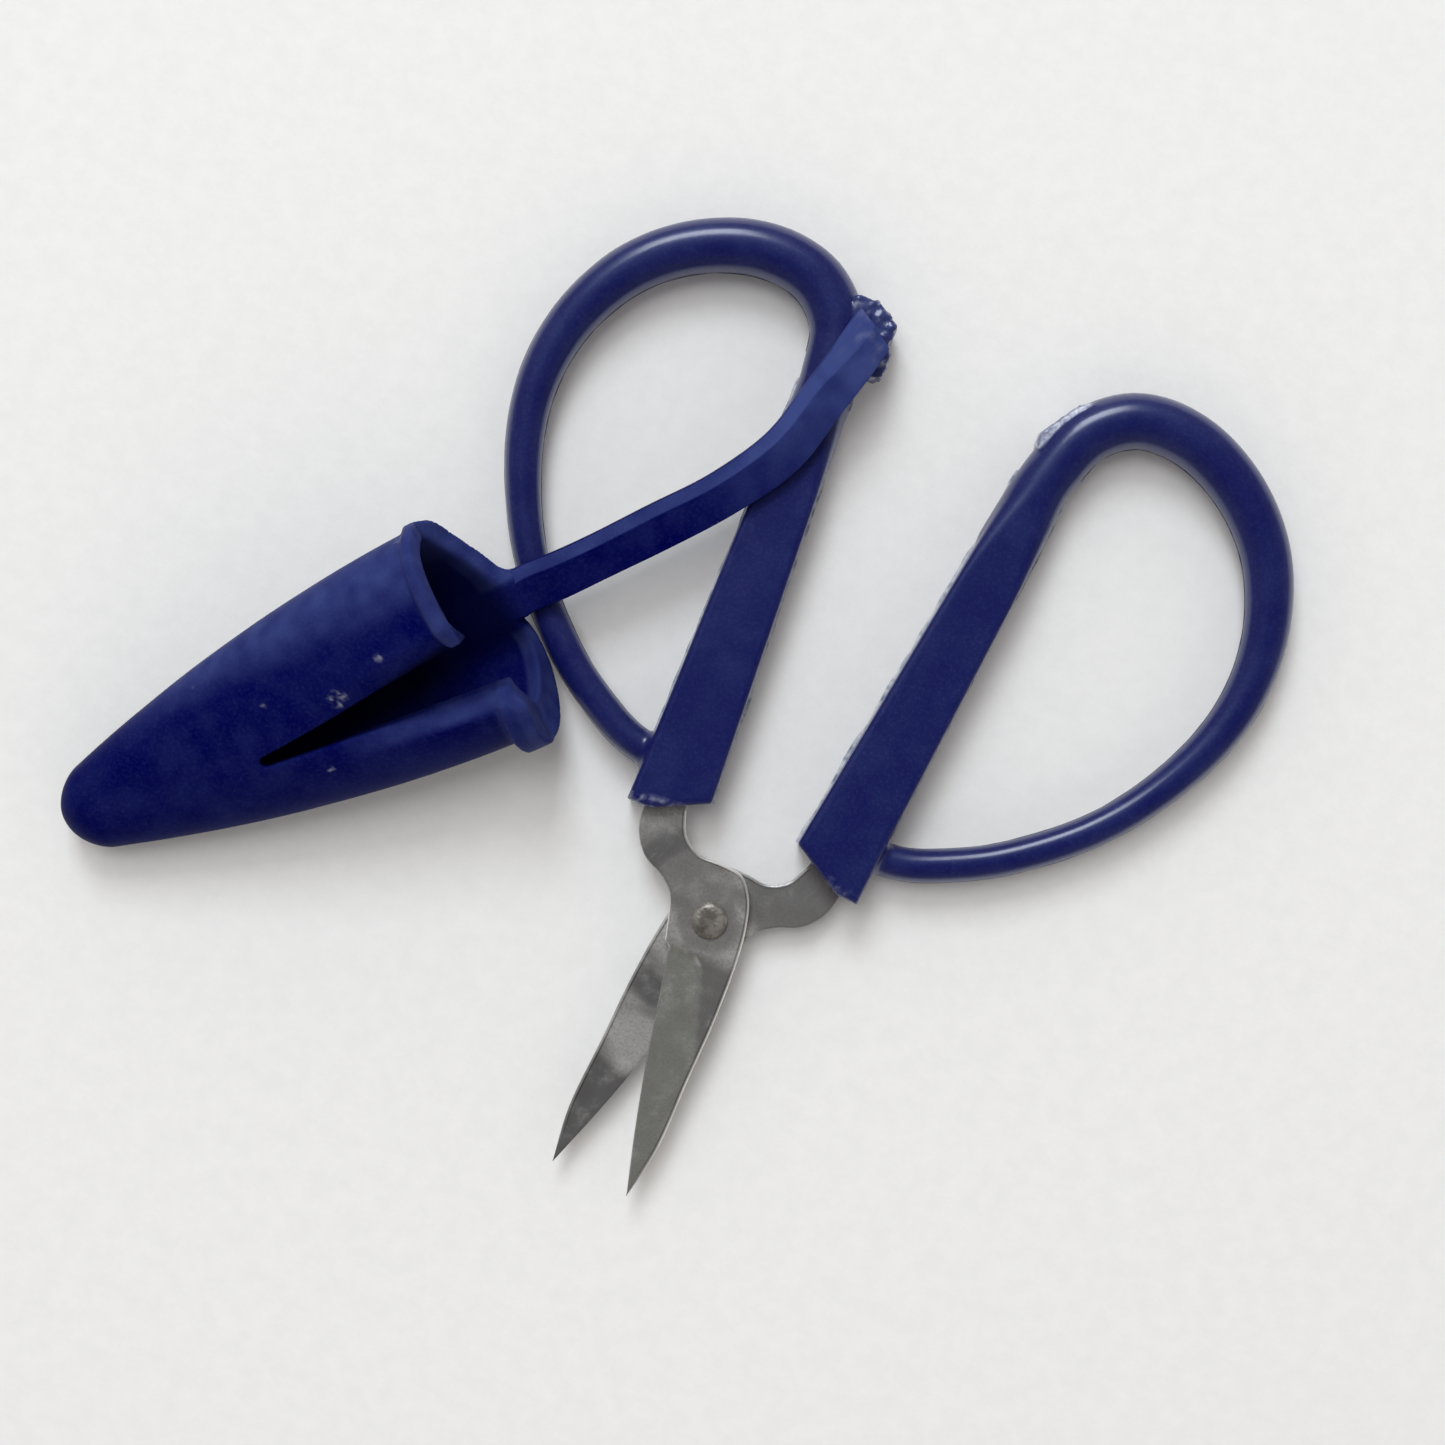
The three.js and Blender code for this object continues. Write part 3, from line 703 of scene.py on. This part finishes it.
def loop_radius(share):
    swell = LOOP_THIN + (LOOP_THICK - LOOP_THIN) * smoothstep(share, 0.22, 0.75)
    return swell * (1 - 0.5 * smoothstep(share, 0.95, 1))


def slab(outline_distance, z, low, high, rounding):
    """Signed distance to an outline that is given a thickness, with rounded edges."""
    return round_cut(outline_distance, np.abs(z - (low + high) / 2) - (high - low) / 2, rounding)


def grip_field(loop_shape, corner, corner_heights):
    """Signed distance to a whole handle in the drawn half, and to the handle without its broken corner."""
    route, share = loop_route(loop_shape)

    def both(points):
        key = points[:, 0].round(5) + 1j * points[:, 1].round(5)
        found, back = np.unique(key, return_inverse=True)
        xy = np.stack([found.real, found.imag], 1)
        gap, where = path_distance(xy, route, share)
        sleeve, knob = polygon_distance(xy, SLEEVE_OUTLINE), polygon_distance(xy, corner)
        gap, radius, sleeve, knob = (v[back] for v in (gap, loop_radius(where), sleeve, knob))
        z = points[:, 2]
        bar = (gap**2.2 + np.abs(z) ** 2.2) ** (1 / 2.2) - radius
        y = points[:, 1]
        rounding = GRIP_EDGE_ROUNDING + 2.3 * smoothstep(y, 44, 61)
        body = slab(sleeve, z, -GRIP_HALF_THICKNESS, GRIP_HALF_THICKNESS, rounding)
        joined = round_union(bar, body, 0.05 + 0.85 * (1 - smoothstep(y, 28, 38)))
        into_bar = smoothstep(y, 54, 61)
        smooth = joined * (1 - into_bar) + bar * into_bar
        return round_union(smooth, slab(knob, z, *corner_heights, 0.25), 0.3), smooth

    return lambda points: both(points)[0], lambda points: both(points)[1]


def torn(points, field, near, depth, lump):
    """Roughens the surface where near is above 0."""
    picked = near > 0
    push = np.zeros(len(points))
    coarse, fine = wobble(points[picked], lump), wobble(points[picked], lump / 2.6, 3)
    push[picked] = near[picked] * depth * (coarse + 0.6 * fine)
    gradient = slope(points, field)
    gradient /= np.maximum(np.linalg.norm(gradient, axis=1, keepdims=True), 1e-6)
    return points + push[:, None] * gradient


def parting_flash(route, offset, side, proud, seed):
    """A thin, uneven ridge along a line of the mould, on one side of a route in the plane."""
    tangent = np.gradient(route, axis=0)
    outward = side * np.stack([tangent[:, 1], -tangent[:, 0]], 1)
    outward /= np.linalg.norm(outward, axis=1, keepdims=True)
    base = route + outward * (offset - FLASH_ROOT)[:, None]
    flat = np.column_stack([route, np.zeros(len(route))])
    reach = FLASH_ROOT + proud * np.clip(1 + wobble(flat, 2.3, seed), 0.3, 1.6)
    points, faces = [], []
    for p, o, r in zip(base, outward, reach):
        tip = p + o * r
        points += [(*p, -FLASH_BASE), (*tip, -FLASH_TIP), (*tip, FLASH_TIP), (*p, FLASH_BASE)]
    for i in range(len(route) - 1):
        for k in range(4):
            a, b = 4 * i + k, 4 * i + (k + 1) % 4
            faces.append((a, b, b + 4, a + 4) if side < 0 else (b, a, a + 4, b + 4))
    last = len(points) - 4
    ends = [(3, 2, 1, 0), (last, last + 1, last + 2, last + 3)]
    faces += ends if side < 0 else [tuple(reversed(e)) for e in ends]
    return points, faces


def grip_flash(loop_shape):
    """The parting line's ridges, and how pale each point is: dark round the loop, pale along the sleeve."""
    route, share = loop_route(loop_shape)
    outside = int(0.86 * len(route))  # the rest of the bar runs inside the sleeve
    route, share = route[:outside], share[:outside]
    sleeve = np.array(SLEEVE_OUTLINE)
    inner, _ = evenly(sleeve[[2, 3]], 0.8)
    outer, _ = evenly(sleeve[[9, 8]], 0.8)
    lines = [
        (route, loop_radius(share), 1, 0.05, 1, 0.0), (route, loop_radius(share), -1, 0.05, 2, 0.15),
        (inner, np.zeros(len(inner)), 1, 0.24, 3, 1.0), (outer, np.zeros(len(outer)), -1, 0.20, 4, 0.8),
    ]
    points, faces, pale = [], [], []
    for line, offset, side, proud, seed, paleness in lines:
        p, f = parting_flash(line, offset, side, proud, seed)
        faces += [tuple(i + len(points) for i in face) for face in f]
        points += p
        pale += [paleness] * len(p)
    return points, faces, np.array(pale)


def add_grips():
    gloss = gloss_navy()
    flashing = flash_plastic()
    low, high = (-40.5, 7.5, -3.6), (2.5, 75.5, 3.6)
    halves = [
        ("left", left_half, LEFT_LOOP_SHAPE, GATE_STUB, STUB_HEIGHTS),
        ("right", right_half, RIGHT_LOOP_SHAPE, GATE_SCAR, SCAR_HEIGHTS),
    ]
    for side, place, shape, corner, heights in halves:
        body, node = side + "_half", side + "_handle"
        field, smooth = grip_field(shape, corner, heights)
        points, faces = surface_net(field, low, high, MESH_PITCH)
        left = side == "left"
        broken = smoothstep(smooth(points), 0.05, 0.3)
        points = torn(points, field, broken, 0.30 if left else 0.10, 0.9)
        ragged = (1 - smoothstep(points[:, 1], 10.4, 11.2)) * np.clip(wobble(points, 0.8, 6) * 2, 0, 1)
        if left:
            specks = np.clip(wobble(points, 0.7, 2) * 3 - 0.9, 0, 1)
            wear = np.maximum(broken * (0.02 + 0.5 * specks), 0.45 * ragged)
            tone = 0.5 * broken * np.clip(0.8 + wobble(points, 1.3, 4), 0, 1)
        else:
            scar = 0.4 + 0.6 * (1 - smoothstep(smooth(points), 0.25, 0.55))
            wear = np.maximum(broken * scar, 0.12 * ragged)
            tone = np.zeros(len(points))
        grip = make_piece(side + "_grip", place(points), faces, gloss, "grips", 75, wear=wear, tone=tone)
        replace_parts(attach(grip, body), node)
        points, faces, pale = grip_flash(shape)
        flash = make_piece(side + "_flash", place(points), faces, flashing, "grips", 30, pale=pale)
        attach(flash, body)


# ---------------------------------------------------------------- cap

CAP_LENGTH = 50.4
CAP_HALF_WIDTH = 12.5  # at the mouth
CAP_HALF_DEPTH = 6.9
CAP_WIDTH_TAPER = 8.85  # how much less each is at the tip
CAP_DEPTH_TAPER = 3.7
CAP_SQUARENESS = 2.3  # 2 would be an ellipse
CAP_WALL = 1.25
CAP_MESH_PITCH = 0.26
CAP_TIP = PIVOT + Vector((-66.7, -19.1, 0.2))
CAP_TURN = (
    Matrix.Rotation(math.radians(-41), 4, "Z")
    @ Matrix.Rotation(math.radians(9.6), 4, "X")
    @ Matrix.Rotation(math.radians(18), 4, "Y")
)
CAP_FRAME = Matrix.Translation(CAP_TIP) @ CAP_TURN
NOSE_LENGTH = 3.8
LIP_FLARE = 0.6
SLOT_APEX = 23.6
FOLD_WIDTH = 2.6  # the strip beside the slot that dips into it
FOLD_DEPTH = 1.5
SLOT_FLOOR = 0.6  # the slot cuts only what is above this height
SCUFFS = [
    ((-0.9, 34.5, 6.2), 1.3), ((-3.6, 27, 6), 0.7), ((-3.2, 40.5, 6.6), 0.6), ((5.6, 30, 5.2), 0.5),
    ((-8.0, 20.5, 3.0), 0.4), ((-12.4, 47.0, 1.0), 0.9), ((-10.6, 48.6, 0.5), 0.8),
]  # centre and reach, in the cap's own frame
STRAP_WIDTH = 4.84
STRAP_THICKNESS = 1.7
STRAP_EDGE_SLANT = 1.1  # width of the slanting facet along the strap's raised edge


def cap_gauge(points):
    """Below 0 inside the cap's outer surface, before it is scaled to a distance."""
    x, s, z = points.T
    left = np.maximum(0, 1 - s / CAP_LENGTH)
    nose = np.sqrt(np.maximum(0.0004, 1 - (1 - np.clip(s / NOSE_LENGTH, 0, 1)) ** 2))
    width = (CAP_HALF_WIDTH - CAP_WIDTH_TAPER * left**1.8) * nose
    depth = (CAP_HALF_DEPTH - CAP_DEPTH_TAPER * left**1.5) * nose
    across, upward = (np.abs(x) / width) ** CAP_SQUARENESS, (np.abs(z) / depth) ** CAP_SQUARENESS
    return (across + upward + 1e-9) ** (1 / CAP_SQUARENESS) - 1


def slot_sides(s, z):
    """The slot's left and right side at a distance along the cap and a height in it."""
    opened = (s - SLOT_APEX) / (CAP_LENGTH + 6 - SLOT_APEX)
    left = 1.6 - 3.1 * opened
    right = 2.7 + (1.9 + 0.246 * (z - SLOT_FLOOR)) * opened
    return left, right


def mouth_distance(points):
    """Distance along the cap past its slanted mouth, which stands squarer and further out on the right."""
    x, s, z = points.T
    slant = 0.26 - (0.18 * smoothstep(x, 0, 6) + 0.10 * smoothstep(x, 6, 8)) * (z > 0)
    further = 0.55 * smoothstep(x, 1, 5) - 1.0 * smoothstep(x, 6, 13)
    tucked = 1.5 * smoothstep(-x, 2, 10) * smoothstep(-z, -1.5, 3)
    return s - (CAP_LENGTH + 0.1 * x - slant * z + further - tucked)


def tether_root(points):
    """Signed distance to the strap's root, which leaves the lower wall flush with its inside."""
    x, s, z = points.T
    middle = -6.5 - 0.16 * np.maximum(0, s - 52.5)
    shrink = 0.4 * smoothstep(s, 54.0, 55.6)
    half_width, half_depth = STRAP_WIDTH / 2 - shrink, STRAP_THICKNESS / 2 - shrink
    box = np.maximum(np.abs(x) - half_width, np.abs(z - middle) - half_depth)
    facet = (z - middle - x - half_width - half_depth + STRAP_EDGE_SLANT) / math.sqrt(2)
    return np.maximum(np.maximum(box, facet), np.maximum(46 - s, s - 55.8))


def cap_field(points):
    """Signed distance to the cap: its shell, lip, slot and the root of the tether."""
    x, s, z = points.T
    left, right = slot_sides(s, z)
    from_slot = np.maximum(0, np.maximum(left - x, x - right))
    fold = np.clip(1 - from_slot / FOLD_WIDTH, 0, 1) ** 1.4
    sag = FOLD_DEPTH * smoothstep(s, 25, 49) * fold * smoothstep(z, 0.5, 3.5)
    sagged = np.stack([x - 0.2, s, z + sag], 1)
    gauge = cap_gauge(sagged)
    skin = gauge / np.maximum(np.linalg.norm(slope(sagged, cap_gauge), axis=1), 0.07)
    mouth = mouth_distance(points)
    collar = -1.9 - 1.7 * smoothstep(x, 4, 9)
    flare = (LIP_FLARE + 0.9 * smoothstep(x, 6, 12)) * smoothstep(mouth, collar, collar + 1)
    wall = CAP_WALL + 2.0 * smoothstep(x, 4, 10) * smoothstep(s, 43, 49)
    shell = np.maximum(round_cut(skin - flare, -skin - wall, 0.3), 0.1 - s)
    lower = 1 - smoothstep(z, -4.0, -1.0)
    half_width = STRAP_WIDTH / 2
    neck = np.maximum(np.maximum(x - half_width, -x - half_width + STRAP_EDGE_SLANT), s - 53.4)
    fillet = 2.6 - 2.2 * smoothstep(x, -0.5, 0.5)
    rim = lower * round_union(mouth, neck, fillet) + (1 - lower) * mouth
    rim = rim - lower * (1 - smoothstep(x, -1.5, 2.0)) * 0.62 * (skin + CAP_WALL)
    body = round_cut(shell, rim, 0.32)
    slot = round_cut(round_cut(left - x, x - right, 0.05), SLOT_APEX - s, 0.5)
    slot = np.maximum(slot, SLOT_FLOOR - z)
    body = round_cut(body, -slot, 0.25)
    return round_union(body, tether_root(points), 0.35)


def cap_marks(points):
    """Painted light on the cap's lit flank, on the strip beside the slot and on its lip, a lighter collar,
    and painted shade where its inside lies in the dark.
    """
    x, s, z = points.T
    past_slot = x - slot_sides(s, z)[1]
    mouth = mouth_distance(points)
    # painted light: the flank that faces the lamp, the strip beside the slot and the lip's facet are made
    # lighter; the collar is lighter too
    lit_flank = (1 - smoothstep(x, -9.5, -5.5)) * smoothstep(s, 4, 14)
    strip = smoothstep(past_slot, -0.3, 0.3) * (1 - smoothstep(past_slot, 1.4, 2.6)) * smoothstep(s, 30, 44)
    on_tether = smoothstep(x, -2.2, -1.5) * (1 - smoothstep(z, -4.5, -3.5)) * (1 - smoothstep(x, 3, 4))
    lip = smoothstep(mouth, -1.7, -1.2) * (1 - on_tether)
    collar = smoothstep(mouth, -3.8, -3.0) * smoothstep(x, 3, 4.5) * smoothstep(z, -2, 0)
    tone = np.maximum.reduce([0.55 * lit_flank, 0.5 * strip * smoothstep(z, 1, 3), 0.5 * lip, 0.3 * collar])
    tone = tone * np.clip(0.9 + 0.5 * wobble(points, 1.7, 12), 0, 1.2)
    # painted shade: the inside made dark, deep below the outer surface and back from the mouth
    buried = -cap_gauge(points) * 6
    deep = 0.8 * smoothstep(buried, 0.5, 1.0) * (1 - smoothstep(mouth, -1.5, 2.5))
    return tone, deep * (1 - 0.8 * smoothstep(x, 3, 7))


def add_cap(satin):
    low, high = (-14.6, -0.8, -8.6), (14.6, 57.0, 8.6)
    points, faces = surface_net(cap_field, low, high, CAP_MESH_PITCH)
    wear = np.zeros(len(points))
    for centre, reach in SCUFFS:
        wear = np.maximum(wear, 1 - smoothstep(np.linalg.norm(points - centre, axis=1), reach * 0.4, reach))
    wear *= 0.5 * np.clip(0.1 + 1.6 * wobble(points, 0.35), 0, 1)
    tone, deep = cap_marks(points)
    points = points + 0.05 * wobble(points, 9.0, 5)[:, None]
    points = placed(points, CAP_FRAME)
    cap = make_piece("cap_shell", points, faces, satin, "cap", 75, wear=wear, tone=tone, deep=deep)
    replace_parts(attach(cap, "cap"), "blade_cap")


# ---------------------------------------------------------------- strap

STRAP_ROLL = math.radians(20)
STRAP_ROUTE = [
    (-10.55, 63.8, 7.75), (-11.2, 60.0, 7.75), (-12.3, 54.9, 7.6), (-13.9, 48.1, 7.4), (-17.6, 41.6, 7.2),
    (-22.4, 35.4, 7.0), (-29.7, 26.5, 6.55),
]  # from the pivot in plan, and above the surface: the torn end, the long bend and the run to the cap
STRAP_END_SKEW = 0.38  # how far the torn end runs aslant, per millimetre of width
STRAP_MESH_STEP = 0.4
STRAP_SIDE_POINTS = 9  # points along each flat side of the section
STRAP_SPLIT = 0.5  # share of the length where the two pieces of the strap meet


def strap_section(share, width, thickness):
    """The strap's section, with its raised edge slanted: across, up and forward."""
    w, t = width / 2, thickness / 2
    slant = STRAP_EDGE_SLANT * (1 + 0.9 * (1 - smoothstep(share, 0.02, 0.2)))
    drop = min(slant, 0.62 * thickness)
    corners = [(-w, -t), (w, -t), (w, t - drop), (w - slant, t), (-w, t)]
    ring = rounded_outline(corners, 0.2, STRAP_SIDE_POINTS)
    across = ring[:, 0] * math.cos(STRAP_ROLL) - ring[:, 1] * math.sin(STRAP_ROLL)
    upward = ring[:, 0] * math.sin(STRAP_ROLL) + ring[:, 1] * math.cos(STRAP_ROLL)
    skew = -STRAP_END_SKEW * ring[:, 0] * (1 - smoothstep(share, 0.0, 0.05))
    return np.stack([across, upward, skew], 1)


def strap_route():
    """Centre line of the strap in the row frame, from its torn end to just inside the cap's lower wall."""
    outside = [(PIVOT.x + x, PIVOT.y + y, z) for x, y, z in STRAP_ROUTE]
    root = [tuple(CAP_FRAME @ Vector(p)) for p in ((0, 55.2, -6.93), (0, 53.4, -6.64), (0, 50.5, -6.5))]
    return evenly(smooth_path([*outside, *root]), STRAP_MESH_STEP)


def add_strap(satin):
    route, share = strap_route()
    split = int(len(route) * STRAP_SPLIT)
    stretches = [("strap_upper", 0, split + 1), ("strap_lower", split, len(route))]
    made = []
    for name, first, last in stretches:
        part, where = route[first:last], share[first:last]

        def section(t):
            at = float(np.interp(t, np.linspace(0, 1, len(where)), where))
            inside = smoothstep(at, 0.93, 0.96)
            width = STRAP_WIDTH * (1 + 0.015 * math.sin(23 * at) * (1 - inside)) - 0.5 * inside
            return strap_section(at, width, STRAP_THICKNESS - 0.5 * inside)

        points, faces = swept(part, section)
        end = np.linalg.norm(points - route[0], axis=1)
        stress = (1 - smoothstep(end, 1.0, 6.0)) * np.clip(wobble(points, 1.1, 7) * 1.6 - 0.1, 0, 1)
        run = STRAP_SIDE_POINTS + 4  # points from one corner of the section to the next
        lit_facet = np.zeros(5 * run)
        lit_facet[2 * run + 2 : 3 * run + 2] = 1
        lit_facet = np.tile(lit_facet, len(part))
        # painted light: lighter towards the torn end, where the strap turns to face up, and on the slanted
        # edge facet that faces the lamp
        tone = 0.9 * (1 - smoothstep(end, 0, 30)) + 0.5 * lit_facet
        tone = tone * np.clip(0.85 + 0.5 * wobble(points, 2.4, 8), 0, 1.2)
        nudge = 0.05 * wobble(points, 1.4, 9) + 0.10 * (1 - smoothstep(end, 1, 4)) * wobble(points, 0.8, 4)
        points = points + nudge[:, None] * np.array([0.3, 0.3, 1.0])
        made.append(make_piece(name, points, faces, satin, "strap", 28, wear=0.12 * stress, tone=tone))
    upper, lower = made
    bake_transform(upper)
    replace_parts(upper, "strap_root", "strap")
    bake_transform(lower)
    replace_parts(lower, "strap")


# ---------------------------------------------------------------- stage

CAMERA_HEIGHT = 0.3
VIEW_WIDTH = 0.1555  # what the picture spans at the surface
VIEW_CENTRE = (-7.6, 19.6)  # from the pivot, in millimetres
VIEW_TURN = math.radians(24.9)
SURFACE_HALF = 1.5
LAMP_DISTANCE = 1.6
ROOM_LOW = (1.0, 0.915, 0.835, 1)
ROOM_HIGH = (0.13, 0.13, 0.14, 1)
ROOM_LIGHT = 1.1
ROOM_IN_REFLECTIONS = 0.12  # the dark side of the room, where the viewer stands, is what the object mirrors


def add_camera():
    camera = bpy.data.cameras.new("camera")
    camera.sensor_width = 36
    camera.lens = 18 / (VIEW_WIDTH / 2 / CAMERA_HEIGHT)
    camera.clip_start = 0.01
    seen = bpy.data.objects.new("camera", camera)
    seen.location = ((PIVOT.x + VIEW_CENTRE[0]) * MM, (PIVOT.y + VIEW_CENTRE[1]) * MM, CAMERA_HEIGHT)
    seen.rotation_euler = (0, 0, VIEW_TURN)
    bpy.context.scene.collection.objects.link(seen)
    bpy.context.scene.camera = seen


def add_light(name, direction, size, power, colour, mirrored=True):
    """A square soft light that shines on the middle of the object from a direction."""
    light = bpy.data.lights.new(name, "AREA")
    light.size = size
    light.energy = power
    light.color = colour
    lamp = bpy.data.objects.new(name, light)
    lamp.location = Vector(direction).normalized() * LAMP_DISTANCE
    lamp.rotation_euler = (-lamp.location).to_track_quat("-Z", "Y").to_euler()
    lamp.visible_glossy = mirrored
    bpy.context.scene.collection.objects.link(lamp)


def add_room():
    """The room's light: warm near the horizon, dim overhead, and dimmer still in reflections."""
    world = bpy.data.worlds.new("room")
    world.use_nodes = True
    tree = world.node_tree
    direction = tree.nodes.new("ShaderNodeTexCoord")
    height = tree.nodes.new("ShaderNodeSeparateXYZ")
    tree.links.new(direction.outputs["Generated"], height.inputs[0])
    shade = tree.nodes.new("ShaderNodeValToRGB")
    shade.color_ramp.elements[0].position = 0.3
    shade.color_ramp.elements[0].color = ROOM_LOW
    shade.color_ramp.elements[1].position = 0.9
    shade.color_ramp.elements[1].color = ROOM_HIGH
    tree.links.new(height.outputs["Z"], shade.inputs[0])
    tree.links.new(shade.outputs[0], tree.nodes["Background"].inputs["Color"])
    ray = tree.nodes.new("ShaderNodeLightPath")
    dimmer = tree.nodes.new("ShaderNodeMath")
    dimmer.operation = "MULTIPLY_ADD"
    dimmer.inputs[1].default_value = ROOM_IN_REFLECTIONS - ROOM_LIGHT
    dimmer.inputs[2].default_value = ROOM_LIGHT
    tree.links.new(ray.outputs["Is Glossy Ray"], dimmer.inputs[0])
    tree.links.new(dimmer.outputs[0], tree.nodes["Background"].inputs["Strength"])
    bpy.context.scene.world = world


def add_stage():
    """The pale surface, the lamps and the room."""
    mesh = bpy.data.meshes.new("surface")
    half = SURFACE_HALF
    corners = [(-half, -half, 0), (half, -half, 0), (half, half, 0), (-half, half, 0)]
    mesh.from_pydata(corners, [], [(0, 1, 2, 3)])
    mesh.materials.append(paper())
    floor = bpy.data.objects.new("surface", mesh)
    bpy.context.scene.collection.objects.link(floor)
    add_light("window", (-0.40, 0.60, 0.72), size=0.6, power=12.0, colour=(0.92, 0.97, 1.0))
    add_light("high_fill", (-0.30, 0.22, 1.0), size=0.8, power=9.3, colour=(1.0, 0.975, 0.94), mirrored=False)
    add_room()
    bpy.context.scene.view_settings.view_transform = "Standard"


add_camera()
add_stage()
add_blades()
add_rivet()
add_grips()
satin = satin_navy()
add_cap(satin)
add_strap(satin)
